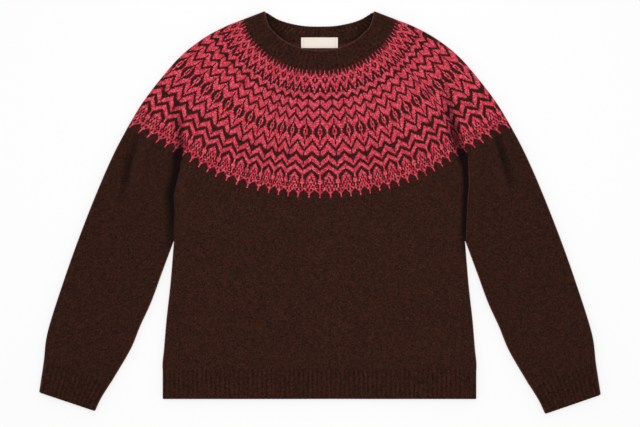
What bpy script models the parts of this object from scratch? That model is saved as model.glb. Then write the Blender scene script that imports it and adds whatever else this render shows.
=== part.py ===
"""Fair isle jumper laid flat on a surface.

Metres, +Z up.  The jumper lies on z = 0, its neck towards +Y and its hem towards -Y.
The origin is at the centre of its outline, on the surface it lies on.
Left and right are the wearer's, so the left sleeve is on the +X side.

Every piece of cloth is an open surface lofted through sections and given its wall by Solidify.
The back layer lies on z = 0 and the front layer lies on top of it, and the two are one
cloth round the folds at the sides, the shoulders and the edges of the sleeves.
"""

import math

import bmesh
import bpy
import numpy as np

# ---------------------------------------------------------------- driving sizes
KNIT_WALL = 0.0026        # one layer of the felted knit
BAND_WALL = 0.0032        # the neckband is folded double
STACK = 0.0090            # top of the front layer above the surface
BAND_STACK = 0.0098       # the same at the neckband
SEAM = 0.0004             # clear gap between two pieces at a seam
NECK_GAP = 0.0008         # the same where the thicker neckband meets the yoke
LABEL_WALL = 0.0009
LABEL_WIDTH = 0.0588
LABEL_DEPTH = 0.0170
LABEL_LOW_Y = 0.2630
LEFT_SLEEVE_DROP = 0.0045   # the left cuff lies this much lower than the right one

HEM_LOW_Y = -0.2987
HEM_TOP_Y = -0.2515
HEM_HALF = 0.2520

ARC_STEPS = 4             # segments in the half circle of a fold
CATMULL_STEPS = 16
BODY_COLUMNS = 11         # points of a layer from the centre to the side
SLEEVE_COLUMNS = 6        # points of a layer across a sleeve

# Plan curves of the left half, columns (x, y).
NECK_SEAM_FRONT = ((0.0, 0.2272), (0.0430, 0.2326), (0.0734, 0.2474), (0.0982, 0.2675),
                   (0.1147, 0.2896), (0.1205, 0.3097))
NECK_SEAM_BACK = ((0.0, 0.2680), (0.0400, 0.2712), (0.0800, 0.2858), (0.1205, 0.3097))
NECK_EDGE_FRONT = ((0.0, 0.2574), (0.0293, 0.2611), (0.0550, 0.2722), (0.0771, 0.2914),
                   (0.0845, 0.3043), (0.0890, 0.3218))
NECK_EDGE_BACK = ((0.0, 0.2966), (0.0312, 0.2984), (0.0642, 0.3070), (0.0890, 0.3218))
YOKE_EDGE_FRONT = ((0.0, 0.0216), (0.0500, 0.0246), (0.1000, 0.0336), (0.1696, 0.0568),
                   (0.2213, 0.0885))
YOKE_EDGE_BACK = ((0.0, 0.0560), (0.1000, 0.0610), (0.1696, 0.0725), (0.2213, 0.0885))
YOKE_EDGE_SLEEVE = ((0.2213, 0.0885), (0.2460, 0.1022), (0.2728, 0.1168), (0.3080, 0.1355))
SHOULDER_FOLD = ((0.1205, 0.3097), (0.1512, 0.2976), (0.1864, 0.2784), (0.2232, 0.2496),
                 (0.2568, 0.2112), (0.2856, 0.1728), (0.3080, 0.1355))
SLEEVE_OUTER = ((0.3080, 0.1355), (0.3288, 0.0960), (0.3544, 0.0384), (0.3848, -0.0384),
                (0.4120, -0.1152), (0.4360, -0.1920), (0.4424, -0.2400))
SLEEVE_INNER = ((0.2335, -0.0460), (0.2520, -0.0960), (0.2696, -0.1440), (0.2872, -0.1824),
                (0.3032, -0.2208), (0.3336, -0.2726))
ARMHOLE = ((0.2335, -0.0460), (0.2320, 0.0000), (0.2330, 0.0300), (0.2246, 0.0670),
           (0.2213, 0.0885))
BODY_SIDE = ((0.2520, -0.2515), (0.2518, -0.2400), (0.2496, -0.2200), (0.2456, -0.1730), (0.2392, -0.1150),
             (0.2335, -0.0460))
CUFF_OUTER = ((0.4424, -0.2400), (0.4496, -0.2880))
CUFF_INNER = ((0.3336, -0.2726), (0.3500, -0.2990), (0.3592, -0.3184))

# Soft folds of the front layer, the same on both sides of the centre: a half width, then
# the line of the fold, columns (x, y, rise).
VALLEY = (0.0160, ((0.2340, -0.0650, 0.0), (0.2335, -0.0460, -0.0016), (0.2320, 0.0, -0.0022),
                   (0.2330, 0.0300, -0.0023), (0.2246, 0.0670, -0.0023),
                   (0.2213, 0.0885, -0.0022), (0.2160, 0.1300, -0.0015), (0.2120, 0.1800, 0.0)))
SLEEVE_FOLD = (0.0200, ((0.2300, 0.2000, 0.0), (0.2500, 0.1700, 0.0010),
                        (0.2728, 0.1250, 0.0019), (0.2900, 0.0500, 0.0020),
                        (0.3050, -0.0400, 0.0)))
FOLDS = (VALLEY, SLEEVE_FOLD)

# Colours are linear: (base colour, roughness).
BROWN = ((0.034, 0.013, 0.0098), 0.95)
BROWN_RIB = ((0.031, 0.012, 0.0090), 0.95)
YOKE_MIX = ((0.330, 0.036, 0.052), 0.93)
CREAM = ((0.870, 0.740, 0.680), 0.70)


# ---------------------------------------------------------------- curves and patches
def curve(table, level_start=False):
    """Smooth curve through a table, as a function of the fraction of its length.

    level_start makes it leave its first point as its own mirror image would."""
    pts = [np.array(p, dtype=float) for p in table]
    if level_start:
        before = pts[1] * np.array((-1.0, 1.0))
    else:
        before = 2.0 * pts[0] - pts[1]
    chain = [before] + pts + [2.0 * pts[-1] - pts[-2]]
    dense = []
    for i in range(1, len(chain) - 2):
        p0, p1, p2, p3 = chain[i - 1:i + 3]
        for k in range(CATMULL_STEPS):
            s = k / CATMULL_STEPS
            dense.append(0.5 * (2 * p1 + (p2 - p0) * s + (2 * p0 - 5 * p1 + 4 * p2 - p3) * s * s
                                + (3 * p1 - p0 - 3 * p2 + p3) * s ** 3))
    dense.append(pts[-1])
    return polyline(dense)


def polyline(points):
    """The straight-edged curve through points, by the fraction of its length."""
    pts = np.array(points)
    run = np.concatenate(([0.0], np.cumsum(np.linalg.norm(np.diff(pts, axis=0), axis=1))))

    def at(s):
        d = s * run[-1]
        return np.array((np.interp(d, run, pts[:, 0]), np.interp(d, run, pts[:, 1])))

    at.length = run[-1]
    at.points = pts
    return at


def joined(*curves):
    """Several curves end to end as one."""
    points = [curves[0].points]
    for c in curves[1:]:
        points.append(c.points[1:])
    return polyline(np.concatenate(points))


def shifted(source, distance):
    """A curve moved sideways, to the left of its own direction."""
    pts = source.points
    along = np.gradient(pts, axis=0)
    along /= np.linalg.norm(along, axis=1)[:, None]
    side = np.stack((-along[:, 1], along[:, 0]), axis=1)
    moved = pts + side * distance
    on_centre = np.abs(pts[:, 0]) < 1e-9
    moved[on_centre, 0] = 0.0
    return polyline(moved)


def reverse(source):
    return polyline(source.points[::-1])


def ended(source, first, last):
    """A curve with its two end points moved, to meet its neighbours' corners."""
    return polyline(np.concatenate(([first], source.points[1:-1], [last])))


def patch(low, high, start, end):
    """Coons patch: low and high run across (u), start and end run up (v)."""
    c00, c10, c01, c11 = low(0), low(1), high(0), high(1)

    def at(u, v):
        ruled = (1 - v) * low(u) + v * high(u) + (1 - u) * start(v) + u * end(v)
        corners = ((1 - u) * (1 - v) * c00 + u * (1 - v) * c10
                   + (1 - u) * v * c01 + u * v * c11)
        return ruled - corners

    return at


def line(a, b):
    return polyline((a, b))


# ---------------------------------------------------------------- the lie of the cloth
def soft(t):
    t = min(max(t, 0.0), 1.0)
    return 0.5 + 0.5 * math.cos(math.pi * t)


def front_height(x, y, stack):
    """Height of the front layer's outer face over a point of the plan."""
    height = stack
    p = np.array((abs(x), y))
    for half_width, path in FOLDS:
        nearest, rise = half_width, 0.0
        for start, end in zip(path, path[1:]):
            a = np.array(start[:2])
            ab = np.array(end[:2]) - a
            t = min(max(float(np.dot(p - a, ab) / np.dot(ab, ab)), 0.0), 1.0)
            gap = float(np.linalg.norm(p - (a + t * ab)))
            if gap < nearest:
                nearest, rise = gap, start[2] + (end[2] - start[2]) * t
        height += rise * soft(nearest / half_width)
    return height


def row_length(face, v):
    return sum(float(np.linalg.norm(face((k + 1) / 8, v) - face(k / 8, v))) for k in range(8))


def layer_row(face, v, stops, stack, back):
    """Points of one layer along a row, at the fractions in stops."""
    row = []
    for u in stops:
        x, y = face(u, v)
        row.append((x, y, 0.0 if back else front_height(x, y, stack)))
    return row


def arc_rows(front, back, v, at_end, stack, angles):
    """Points of a fold at one side of a row, from the front layer round to the back one.

    The fold is a half circle over the edge of the plan: 90 degrees is the front layer's
    face, 0 the outermost line and -90 the back layer's face on the surface."""
    length_front = row_length(front, v)
    length_back = row_length(back, v)
    edge = 1.0 if at_end else 0.0
    inset = stack / 2 / length_front
    x, y = front(edge + (-inset if at_end else inset), v)
    radius = front_height(x, y, stack) / 2
    points = []
    for angle in angles:
        a = math.radians(angle)
        if angle >= 0:
            face, length = front, length_front
        else:
            face, length = back, length_back
        reach = radius * (1 - math.cos(a)) / length
        x, y = face(edge - reach if at_end else edge + reach, v)
        points.append((x, y, radius + radius * math.sin(a)))
    return points


def spread(first, last, count):
    return [first + (last - first) * k / (count - 1) for k in range(count)]


# ---------------------------------------------------------------- meshes
def material(name, look):
    colour, roughness = look
    mat = bpy.data.materials.new(name)
    mat.use_nodes = True
    shader = mat.node_tree.nodes["Principled BSDF"]
    shader.inputs["Base Color"].default_value = (*colour, 1.0)
    shader.inputs["Roughness"].default_value = roughness
    shader.inputs["Metallic"].default_value = 0.0
    return mat


def cloth(name, rows, wall, look, ring=False, mirror=False, flip=False):
    """Loft rows of points into an open surface and give it its wall on the inside.

    A missing point is None: the faces that would use it are left out."""
    bm = bmesh.new()
    grid = [[None if p is None else bm.verts.new(p) for p in row] for row in rows]
    across = len(rows[0])
    for low, high in zip(grid, grid[1:]):
        for k in range(across if ring else across - 1):
            n = (k + 1) % across
            corners = [low[k], low[n], high[n], high[k]]
            if any(c is None for c in corners):
                continue
            bm.faces.new(corners[::-1] if flip else corners)
    for vert in [v for v in bm.verts if not v.link_faces]:
        bm.verts.remove(vert)
    mesh = bpy.data.meshes.new(name)
    bm.to_mesh(mesh)
    bm.free()
    mesh.shade_smooth()
    mesh.set_sharp_from_angle(angle=math.radians(50))
    obj = bpy.data.objects.new(name, mesh)
    jumper.objects.link(obj)
    obj.data.materials.append(material(name + "_knit", look))
    if mirror:
        half = obj.modifiers.new("other_half", "MIRROR")
        half.use_axis = (True, False, False)
        half.use_mirror_merge = True
        half.merge_threshold = 0.00005
    shell = obj.modifiers.new("wall", "SOLIDIFY")
    shell.thickness = wall
    shell.offset = -1.0
    shell.use_quality_normals = True
    shell.use_rim = True
    return obj


def fold_angles():
    return [90 - 180 * k / ARC_STEPS for k in range(1, ARC_STEPS)]


def half_ring(front, back, v, columns, stack, folded=True):
    """Half a section in the round: front centre, over the side fold, to the back centre.

    columns counts the points of a layer, or gives the numbers before and after the share
    of the row where the armhole seam meets it.  Where the side is open, as at an armhole,
    both layers run out to the edge of the plan."""
    length_f, length_b = row_length(front, v), row_length(back, v)
    end_f = 1.0 - stack / 2 / length_f if folded else 1.0
    end_b = 1.0 - stack / 2 / length_b if folded else 1.0
    angles = fold_angles()
    row = layer_row(front, v, stops(columns, end_f, 0), stack, back=False)
    row += arc_rows(front, back, v, True, stack, angles) if folded else [None] * len(angles)
    row += layer_row(back, v, stops(columns, end_b, 1)[::-1], stack, back=True)
    return row


def stops(columns, end, layer):
    """Fractions of a row at which its points lie, from the centre to its folded end."""
    if isinstance(columns, int):
        return spread(0.0, end, columns)
    inner, outer, shares = columns
    return spread(0.0, shares[layer], inner) + spread(shares[layer], end, outer)[1:]


# ---------------------------------------------------------------- start
for old in list(bpy.data.objects):
    bpy.data.objects.remove(old, do_unlink=True)
jumper = bpy.data.collections.new("fair_isle_jumper")
bpy.context.scene.collection.children.link(jumper)

HALF_GAP = SEAM / 2

# ---------------------------------------------------------------- yoke and neckband
neck_front = curve(NECK_SEAM_FRONT, level_start=True)
neck_back = curve(NECK_SEAM_BACK, level_start=True)
edge_front = curve(YOKE_EDGE_FRONT, level_start=True)
edge_back = curve(YOKE_EDGE_BACK, level_start=True)
edge_sleeve = curve(YOKE_EDGE_SLEEVE)
shoulder = curve(SHOULDER_FOLD)

low_front = joined(edge_front, edge_sleeve)
low_back = joined(edge_back, edge_sleeve)


front_share = edge_front.length / (edge_front.length + edge_sleeve.length)
back_share = edge_back.length / (edge_back.length + edge_sleeve.length)
YOKE_COLUMNS = (BODY_COLUMNS, SLEEVE_COLUMNS, (front_share, back_share))


def yoke_face(neck, low):
    top = shifted(neck, -NECK_GAP / 2)
    bottom = shifted(low, HALF_GAP)
    return patch(bottom, top, line(bottom(0), top(0)),
                 ended(reverse(shoulder), bottom(1), top(1)))


yoke_rows = [half_ring(yoke_face(neck_front, low_front), yoke_face(neck_back, low_back),
                       v, YOKE_COLUMNS, STACK) for v in spread(0.0, 1.0, 9)]
cloth("yoke", yoke_rows, KNIT_WALL, YOKE_MIX, mirror=True)


def band_face(neck, free_edge):
    bottom = shifted(neck, NECK_GAP / 2)
    top = curve(free_edge, level_start=True)
    return patch(bottom, top, line(bottom(0), top(0)), line(bottom(1), top(1)))


band_rows = [half_ring(band_face(neck_front, NECK_EDGE_FRONT),
                       band_face(neck_back, NECK_EDGE_BACK), v, YOKE_COLUMNS, BAND_STACK)
             for v in spread(0.0, 1.0, 4)]
cloth("neckband", band_rows, BAND_WALL, BROWN_RIB, mirror=True)

# ---------------------------------------------------------------- body
side = curve(BODY_SIDE)
armhole = curve(ARMHOLE)
body_edge = shifted(joined(side, armhole), HALF_GAP)
body_edge = ended(body_edge, body_edge(0), body_edge(1) - (0.0, HALF_GAP))
side_share = side.length / (side.length + armhole.length)


def body_face(low_edge):
    low_y = HEM_TOP_Y + HALF_GAP
    corner = body_edge(0)
    top = shifted(low_edge, -HALF_GAP)
    top = ended(top, top(0), body_edge(1))
    bottom = line((0.0, low_y), (corner[0], low_y))
    return patch(bottom, top, line(bottom(0), top(0)), body_edge)


body_faces = (body_face(edge_front), body_face(edge_back))
body_rows = [half_ring(*body_faces, v, BODY_COLUMNS, STACK) for v in spread(0.0, side_share, 8)]
body_rows += [half_ring(*body_faces, v, BODY_COLUMNS, STACK, folded=False)
              for v in spread(side_share, 1.0, 6)[1:]]
cloth("body", body_rows, KNIT_WALL, BROWN, mirror=True)

welt_top = HEM_TOP_Y - HALF_GAP
welt = patch(line((0.0, HEM_LOW_Y), (HEM_HALF, HEM_LOW_Y)),
             line((0.0, welt_top), (HEM_HALF, welt_top)),
             line((0.0, HEM_LOW_Y), (0.0, welt_top)),
             line((HEM_HALF, HEM_LOW_Y), (HEM_HALF, welt_top)))
cloth("hem_rib", [half_ring(welt, welt, v, BODY_COLUMNS, STACK) for v in spread(0.0, 1.0, 4)],
      KNIT_WALL, BROWN_RIB, mirror=True)


# ---------------------------------------------------------------- sleeves and cuffs
def sleeve_side(sign, drop):
    """Moves a left-half plan curve to its own side and lets it down towards the cuff."""
    top_y, cuff_y = ARMHOLE[-1][1], CUFF_INNER[-1][1]

    def place(source):
        pts = source.points.copy()
        share = np.clip((top_y - pts[:, 1]) / (top_y - cuff_y), 0.0, 1.0)
        pts[:, 1] -= drop * share ** 2
        pts[:, 0] = sign * (pts[:, 0] + 0.4 * drop * share ** 2)
        return polyline(pts)

    return place


def tube_row(face, v, columns, stack, inner_folded):
    """A closed section: outer fold, front layer, inner fold or armhole edge, back layer."""
    inset = stack / 2 / row_length(face, v)
    angles = fold_angles()
    last = 1.0 - inset if inner_folded else 1.0
    across = spread(inset, last, columns)
    row = layer_row(face, v, across, stack, back=False)
    row += arc_rows(face, face, v, True, stack, angles) if inner_folded else [None] * len(angles)
    row += layer_row(face, v, across[::-1], stack, back=True)
    row += arc_rows(face, face, v, False, stack, [-a for a in angles])
    return row


for wearer_side, sign, drop in (("left", 1, LEFT_SLEEVE_DROP), ("right", -1, 0.0)):
    place = sleeve_side(sign, drop)
    inner_low = reverse(curve(SLEEVE_INNER))
    inner = shifted(joined(inner_low, armhole), -HALF_GAP)
    inner_share = inner_low.length / (inner_low.length + armhole.length)
    outer = reverse(curve(SLEEVE_OUTER))
    top = shifted(reverse(edge_sleeve), HALF_GAP)
    inner = ended(inner, inner(0), top(1) + (HALF_GAP, 0.0))
    top = ended(top, top(0), inner(1))
    outer = ended(outer, outer(0), top(0))
    rib_line = line(outer(0), inner(0))
    face = patch(place(rib_line), place(top), place(outer), place(inner))
    low_share = HALF_GAP / outer.length
    rows = [tube_row(face, v, SLEEVE_COLUMNS, STACK, True) for v in spread(low_share, inner_share, 10)]
    rows += [tube_row(face, v, SLEEVE_COLUMNS, STACK, False) for v in spread(inner_share, 1.0, 6)[1:]]
    cloth("sleeve_" + wearer_side, rows, KNIT_WALL, BROWN, ring=True, flip=sign > 0)

    cuff_outer = place(reverse(curve(CUFF_OUTER)))
    cuff_inner = place(reverse(curve(CUFF_INNER)))
    cuff = patch(line(cuff_outer(0), cuff_inner(0)), line(cuff_outer(1), cuff_inner(1)),
                 cuff_outer, cuff_inner)
    top_share = 1.0 - SEAM / cuff_outer.length
    rows = [tube_row(cuff, v, SLEEVE_COLUMNS, STACK, True) for v in spread(0.0, top_share, 4)]
    cloth("cuff_" + wearer_side, rows, KNIT_WALL, BROWN_RIB, ring=True, flip=sign > 0)

# ---------------------------------------------------------------- label
bpy.ops.mesh.primitive_cube_add(size=1.0)
label = bpy.context.object
label.name = "neck_label"
label.data.name = "neck_label"
label.scale = (LABEL_WIDTH, LABEL_DEPTH, LABEL_WALL)
bpy.ops.object.transform_apply(location=False, rotation=False, scale=True)
label.location = (0.0, LABEL_LOW_Y + LABEL_DEPTH / 2, BAND_WALL + SEAM + LABEL_WALL / 2)
for owner in list(label.users_collection):
    owner.objects.unlink(label)
jumper.objects.link(label)
label.data.materials.append(material("neck_label_tape", CREAM))
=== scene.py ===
"""Fair isle jumper laid flat: knitted cloth, colour work, ribs and label, in the CAD frame.

Metres, +Z up.  The jumper lies on z = 0, neck towards +Y; left and right are the wearer's."""
import math

import bpy
import numpy as np
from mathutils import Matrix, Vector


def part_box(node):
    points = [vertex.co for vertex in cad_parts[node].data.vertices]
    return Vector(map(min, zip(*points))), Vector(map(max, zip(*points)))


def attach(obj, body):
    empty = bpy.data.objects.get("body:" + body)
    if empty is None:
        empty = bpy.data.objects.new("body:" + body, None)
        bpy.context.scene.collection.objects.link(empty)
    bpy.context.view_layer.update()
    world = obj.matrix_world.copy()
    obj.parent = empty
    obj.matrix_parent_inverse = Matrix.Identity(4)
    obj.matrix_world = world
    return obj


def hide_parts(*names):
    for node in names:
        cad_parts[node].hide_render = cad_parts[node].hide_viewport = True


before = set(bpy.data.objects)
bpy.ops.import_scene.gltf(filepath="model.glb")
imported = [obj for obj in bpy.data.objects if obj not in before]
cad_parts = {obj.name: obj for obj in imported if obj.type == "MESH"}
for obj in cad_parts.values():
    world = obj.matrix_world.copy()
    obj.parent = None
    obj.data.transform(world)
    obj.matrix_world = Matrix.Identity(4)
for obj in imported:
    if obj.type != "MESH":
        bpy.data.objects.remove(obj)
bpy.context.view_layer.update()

# ---------------------------------------------------------------- driving sizes
KNIT_WALL = 0.0026
BAND_WALL = 0.0032
STACK = 0.0090            # top of the front layer
BAND_STACK = 0.0098
SEAM = 0.00008            # the pieces all but meet at their seams
OVERLAP = 0.0008          # the yoke's edge laps over the body and sleeves by this much
LAP = 0.00012             # and stands above them by this much
LEFT_SLEEVE_DROP = 0.0045
HEM_LOW_Y, HEM_TOP_Y, HEM_HALF = -0.2987, -0.2515, 0.2520
STITCH = 0.00185          # width of a stitch
ROW = 0.00155             # height of a row of stitches
RIB = 4                   # stitches in a repeat of the 2x2 rib
LOWEST_TOP = 0.0057       # the front layer never lies lower than this
FOLD_DEPTH = 0.0034       # depth of the deepest troughs
ARC_STEPS = 8             # steps round the fold at a side of a piece
ROLL_STEPS = 5            # steps over a rounded free edge
BAND_DEPTH = 0.030        # rib of the neckband, measured along its columns
CUFF_DEPTH = 0.050
BAND_SINK = 0.0007        # depth of the rib's troughs in the neckband
RIB_SINK = 0.0009         # and in the hem and cuffs
BACK_TEETH = 42.0         # teeth of the yoke's edge from the front's centre to the back's
SIDE_SPLIT = 0.0004       # step between the last closed row and the first open one at an armhole

# points of a row over the front and over the back
YOKE_COLUMNS = (200, 70)
BAND_COLUMNS = (190, 160)
BODY_COLUMNS = (96, 40)
HEM_COLUMNS = (280, 280)
SLEEVE_COLUMNS, CUFF_COLUMNS = 66, 112
# rows up a piece; where an armhole opens it, the closed rows and the open ones
YOKE_ROWS, BAND_ROWS, RIB_ROWS = 49, 14, 14
BODY_ROWS = (48, 34)
SLEEVE_ROWS = (76, 40)

NECK_SEAM_FRONT = ((0.0, 0.2272), (0.0430, 0.2326), (0.0734, 0.2474), (0.0982, 0.2675),
                   (0.1147, 0.2896), (0.1205, 0.3097))
NECK_SEAM_BACK = ((0.0, 0.2680), (0.0400, 0.2712), (0.0800, 0.2858), (0.1205, 0.3097))
NECK_EDGE_FRONT = ((0.0, 0.2574), (0.0293, 0.2611), (0.0550, 0.2722), (0.0771, 0.2914),
                   (0.0845, 0.3043), (0.0890, 0.3218))
NECK_EDGE_BACK = ((0.0, 0.2966), (0.0312, 0.2984), (0.0642, 0.3070), (0.0890, 0.3218))
YOKE_EDGE_FRONT = ((0.0, 0.0216), (0.0500, 0.0246), (0.1000, 0.0336), (0.1696, 0.0568),
                   (0.2213, 0.0885))
YOKE_EDGE_BACK = ((0.0, 0.0560), (0.1000, 0.0610), (0.1696, 0.0725), (0.2213, 0.0885))
YOKE_EDGE_SLEEVE = ((0.2213, 0.0885), (0.2460, 0.1022), (0.2728, 0.1168), (0.3080, 0.1355))
SHOULDER_FOLD = ((0.1205, 0.3097), (0.1512, 0.2976), (0.1864, 0.2784), (0.2232, 0.2496),
                 (0.2568, 0.2112), (0.2856, 0.1728), (0.3080, 0.1355))
SLEEVE_OUTER = ((0.3080, 0.1355), (0.3288, 0.0960), (0.3544, 0.0384), (0.3848, -0.0384),
                (0.4120, -0.1152), (0.4360, -0.1920), (0.4424, -0.2400))
SLEEVE_INNER = ((0.2335, -0.0460), (0.2520, -0.0960), (0.2696, -0.1440), (0.2872, -0.1824),
                (0.3032, -0.2208), (0.3336, -0.2726))
ARMHOLE = ((0.2335, -0.0460), (0.2320, 0.0000), (0.2330, 0.0300), (0.2246, 0.0670),
           (0.2213, 0.0885))
BODY_SIDE = ((0.2520, -0.2515), (0.2518, -0.2400), (0.2496, -0.2200), (0.2456, -0.1730),
             (0.2392, -0.1150), (0.2335, -0.0460))
CUFF_OUTER = ((0.4424, -0.2400), (0.4496, -0.2880))
CUFF_INNER = ((0.3336, -0.2726), (0.3500, -0.2990), (0.3592, -0.3184))

# Folds of the front layer: width on the left and on the right of the path, then the path,
# columns (x, y, rise).
FOLDS = (
    # wearer's right: the body's edge stands over a trough on the sleeve, which runs up the yoke
    (0.0200, 0.0030, (
        (-0.2365, -0.0900, 0.0), (-0.2348, -0.0460, -0.0022), (-0.2330, 0.0, -0.0033),
        (-0.2350, 0.0272, -0.0037), (-0.2246, 0.0672, -0.0043), (-0.2235, 0.0900, -0.0040))),
    (0.0150, 0.0110, (
        (-0.2235, 0.0860, -0.0034), (-0.2205, 0.1080, -0.0033), (-0.2225, 0.1320, -0.0026),
        (-0.2280, 0.1600, -0.0014), (-0.2300, 0.1950, 0.0))),
    (0.0160, 0.0160, (
        (-0.2300, 0.2050, 0.0), (-0.2400, 0.1850, 0.0014), (-0.2560, 0.1550, 0.0022),
        (-0.2710, 0.1250, 0.0030), (-0.2800, 0.1050, 0.0034), (-0.2888, 0.0720, 0.0034),
        (-0.2952, 0.0448, 0.0030), (-0.2990, 0.0200, 0.0018), (-0.3060, -0.0200, 0.0))),
    (0.0100, 0.0180, (
        (-0.2250, -0.0700, 0.0), (-0.2210, -0.0200, 0.0016), (-0.2200, 0.0300, 0.0030),
        (-0.2120, 0.0700, 0.0034), (-0.2080, 0.1000, 0.0028), (-0.2120, 0.1400, 0.0014),
        (-0.2140, 0.1800, 0.0))),
    (0.0140, 0.0120, (
        (-0.2880, 0.1300, 0.0), (-0.2990, 0.1000, -0.0018), (-0.3060, 0.0700, -0.0022),
        (-0.3120, 0.0400, -0.0014), (-0.3180, 0.0100, 0.0))),
    # wearer's left: the sleeve's edge stands over a narrow trough beside the body
    (0.0130, 0.0030, (
        (0.2345, -0.0900, 0.0), (0.2338, -0.0304, -0.0036), (0.2360, 0.0224, -0.0044),
        (0.2378, 0.0432, -0.0050), (0.2366, 0.0720, -0.0072), (0.2345, 0.0928, -0.0064))),
    (0.0170, 0.0140, (
        (0.2320, 0.0870, -0.0036), (0.2210, 0.1080, -0.0038), (0.2150, 0.1400, -0.0033),
        (0.2080, 0.1800, -0.0018), (0.2010, 0.2200, 0.0))),
    (0.0170, 0.0150, (
        (0.2450, 0.1900, 0.0), (0.2560, 0.1550, 0.0016), (0.2690, 0.1180, 0.0030),
        (0.2792, 0.0832, 0.0034), (0.2872, 0.0544, 0.0032), (0.2920, 0.0288, 0.0026),
        (0.2968, 0.0048, 0.0018), (0.3080, -0.0448, 0.0010), (0.3160, -0.0900, 0.0))),
    (0.0110, 0.0170, (
        (0.2430, -0.0800, 0.0), (0.2460, -0.0300, 0.0014), (0.2490, 0.0300, 0.0030),
        (0.2480, 0.0700, 0.0032), (0.2460, 0.1000, 0.0026), (0.2400, 0.1350, 0.0014),
        (0.2330, 0.1700, 0.0))),
    (0.0130, 0.0150, (
        (0.2760, 0.1400, 0.0), (0.2840, 0.1120, -0.0022), (0.2930, 0.0850, -0.0026),
        (0.3000, 0.0550, -0.0018), (0.3060, 0.0200, 0.0))),
)


# ---------------------------------------------------------------- curves and patches
def polyline(points):
    """The straight-edged curve through points, by the fraction of its length."""
    pts = np.array(points, dtype=float)
    run = np.concatenate(([0.0], np.cumsum(np.linalg.norm(np.diff(pts, axis=0), axis=1))))

    def at(s):
        d = np.asarray(s, dtype=float) * run[-1]
        return np.stack((np.interp(d, run, pts[:, 0]), np.interp(d, run, pts[:, 1])), -1)

    at.length, at.points = run[-1], pts
    return at


def curve(table, level_start=False):
    """Smooth curve through a table; level_start makes it leave x = 0 as its mirror image would."""
    pts = [np.array(p, dtype=float) for p in table]
    before = pts[1] * np.array((-1.0, 1.0)) if level_start else 2.0 * pts[0] - pts[1]
    chain = [before] + pts + [2.0 * pts[-1] - pts[-2]]
    dense = []
    for p0, p1, p2, p3 in zip(chain, chain[1:], chain[2:], chain[3:]):
        for s in np.arange(24) / 24:
            dense.append(0.5 * (2 * p1 + (p2 - p0) * s + (2 * p0 - 5 * p1 + 4 * p2 - p3) * s * s
                                + (3 * p1 - p0 - 3 * p2 + p3) * s ** 3))
    return polyline(dense + [pts[-1]])


def joined(*curves):
    return polyline(np.concatenate([curves[0].points] + [c.points[1:] for c in curves[1:]]))


def shifted(source, distance):
    """A curve moved sideways, to the left of its own direction."""
    pts = source.points
    along = np.gradient(pts, axis=0)
    along /= np.linalg.norm(along, axis=1)[:, None]
    moved = pts + np.stack((-along[:, 1], along[:, 0]), axis=1) * distance
    moved[np.abs(pts[:, 0]) < 1e-9, 0] = 0.0
    return polyline(moved)


def reverse(source):
    return polyline(source.points[::-1])


def ended(source, first, last):
    """A curve with its two ends moved to given points."""
    return polyline(np.concatenate(([first], source.points[1:-1], [last])))


def patch(low, high, start, end):
    """Coons patch: low and high run across (u), start and end run up (v)."""
    c00, c10, c01, c11 = low(0.0), low(1.0), high(0.0), high(1.0)

    def at(u, v):
        u, v = np.broadcast_arrays(np.asarray(u, dtype=float), np.asarray(v, dtype=float))
        a, b = u[..., None], v[..., None]
        return ((1 - b) * low(u) + b * high(u) + (1 - a) * start(v) + a * end(v)
                - (1 - a) * (1 - b) * c00 - a * (1 - b) * c10 - (1 - a) * b * c01 - a * b * c11)

    return at


def line(a, b):
    return polyline((a, b))


# ---------------------------------------------------------------- the lie of the cloth
def soft(t):
    """1 at 0, easing down to 0 at 1."""
    return 0.5 + 0.5 * np.cos(np.pi * np.clip(t, 0.0, 1.0))


def fold_rise(x, y, fold):
    """Rise of one fold over points of the plan."""
    left, right, path = fold
    path = np.array(path, dtype=float)
    best = np.full(x.shape, 1e9)
    side, rise = np.ones(x.shape), np.zeros(x.shape)
    for a, b in zip(path, path[1:]):
        ab = b[:2] - a[:2]
        px, py = x - a[0], y - a[1]
        t = np.clip((px * ab[0] + py * ab[1]) / (ab @ ab), 0.0, 1.0)
        gap = np.hypot(px - t * ab[0], py - t * ab[1])
        near = gap < best
        best = np.where(near, gap, best)
        side = np.where(near, ab[0] * py - ab[1] * px, side)
        rise = np.where(near, a[2] + (b[2] - a[2]) * t, rise)
    return rise * soft(best / np.where(side > 0, left, right))


# Slow waves of the cloth: wave number along x and y in radians a metre, phase, height.
WAVES = ((21.0, 9.0, 0.6, 0.00028), (-13.0, 31.0, 2.1, 0.00024), (47.0, 23.0, 4.0, 0.00016),
         (38.0, -52.0, 1.2, 0.00014), (83.0, 19.0, 5.1, 0.00008), (-29.0, 97.0, 3.3, 0.00008))


def folds(x, y):
    """Rise of all the folds together over points of the plan."""
    return sum(fold_rise(x, y, fold) for fold in FOLDS)


def top_height(x, y, stack):
    """Height of the front layer's outer face over points of the plan."""
    height = stack + folds(x, y)
    for kx, ky, phase, size in WAVES:
        height += size * np.sin(kx * x + ky * y + phase)
    return np.maximum(height, LOWEST_TOP)


def lie_layer(p):
    """How deep in a trough (below zero) or high on a fold each point of the front lies."""
    x, y = np.nan_to_num(p[..., 0]), np.nan_to_num(p[..., 1])
    out = np.zeros(p.shape)
    out[..., 0] = np.where(np.nan_to_num(p[..., 2]) > STACK / 2, folds(x, y) / FOLD_DEPTH, 0.0)
    return out


# ---------------------------------------------------------------- sections
def row_length(face, v):
    steps = face(np.linspace(0, 1, 9), v)
    return float(np.linalg.norm(np.diff(steps, axis=0), axis=1).sum())


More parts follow.
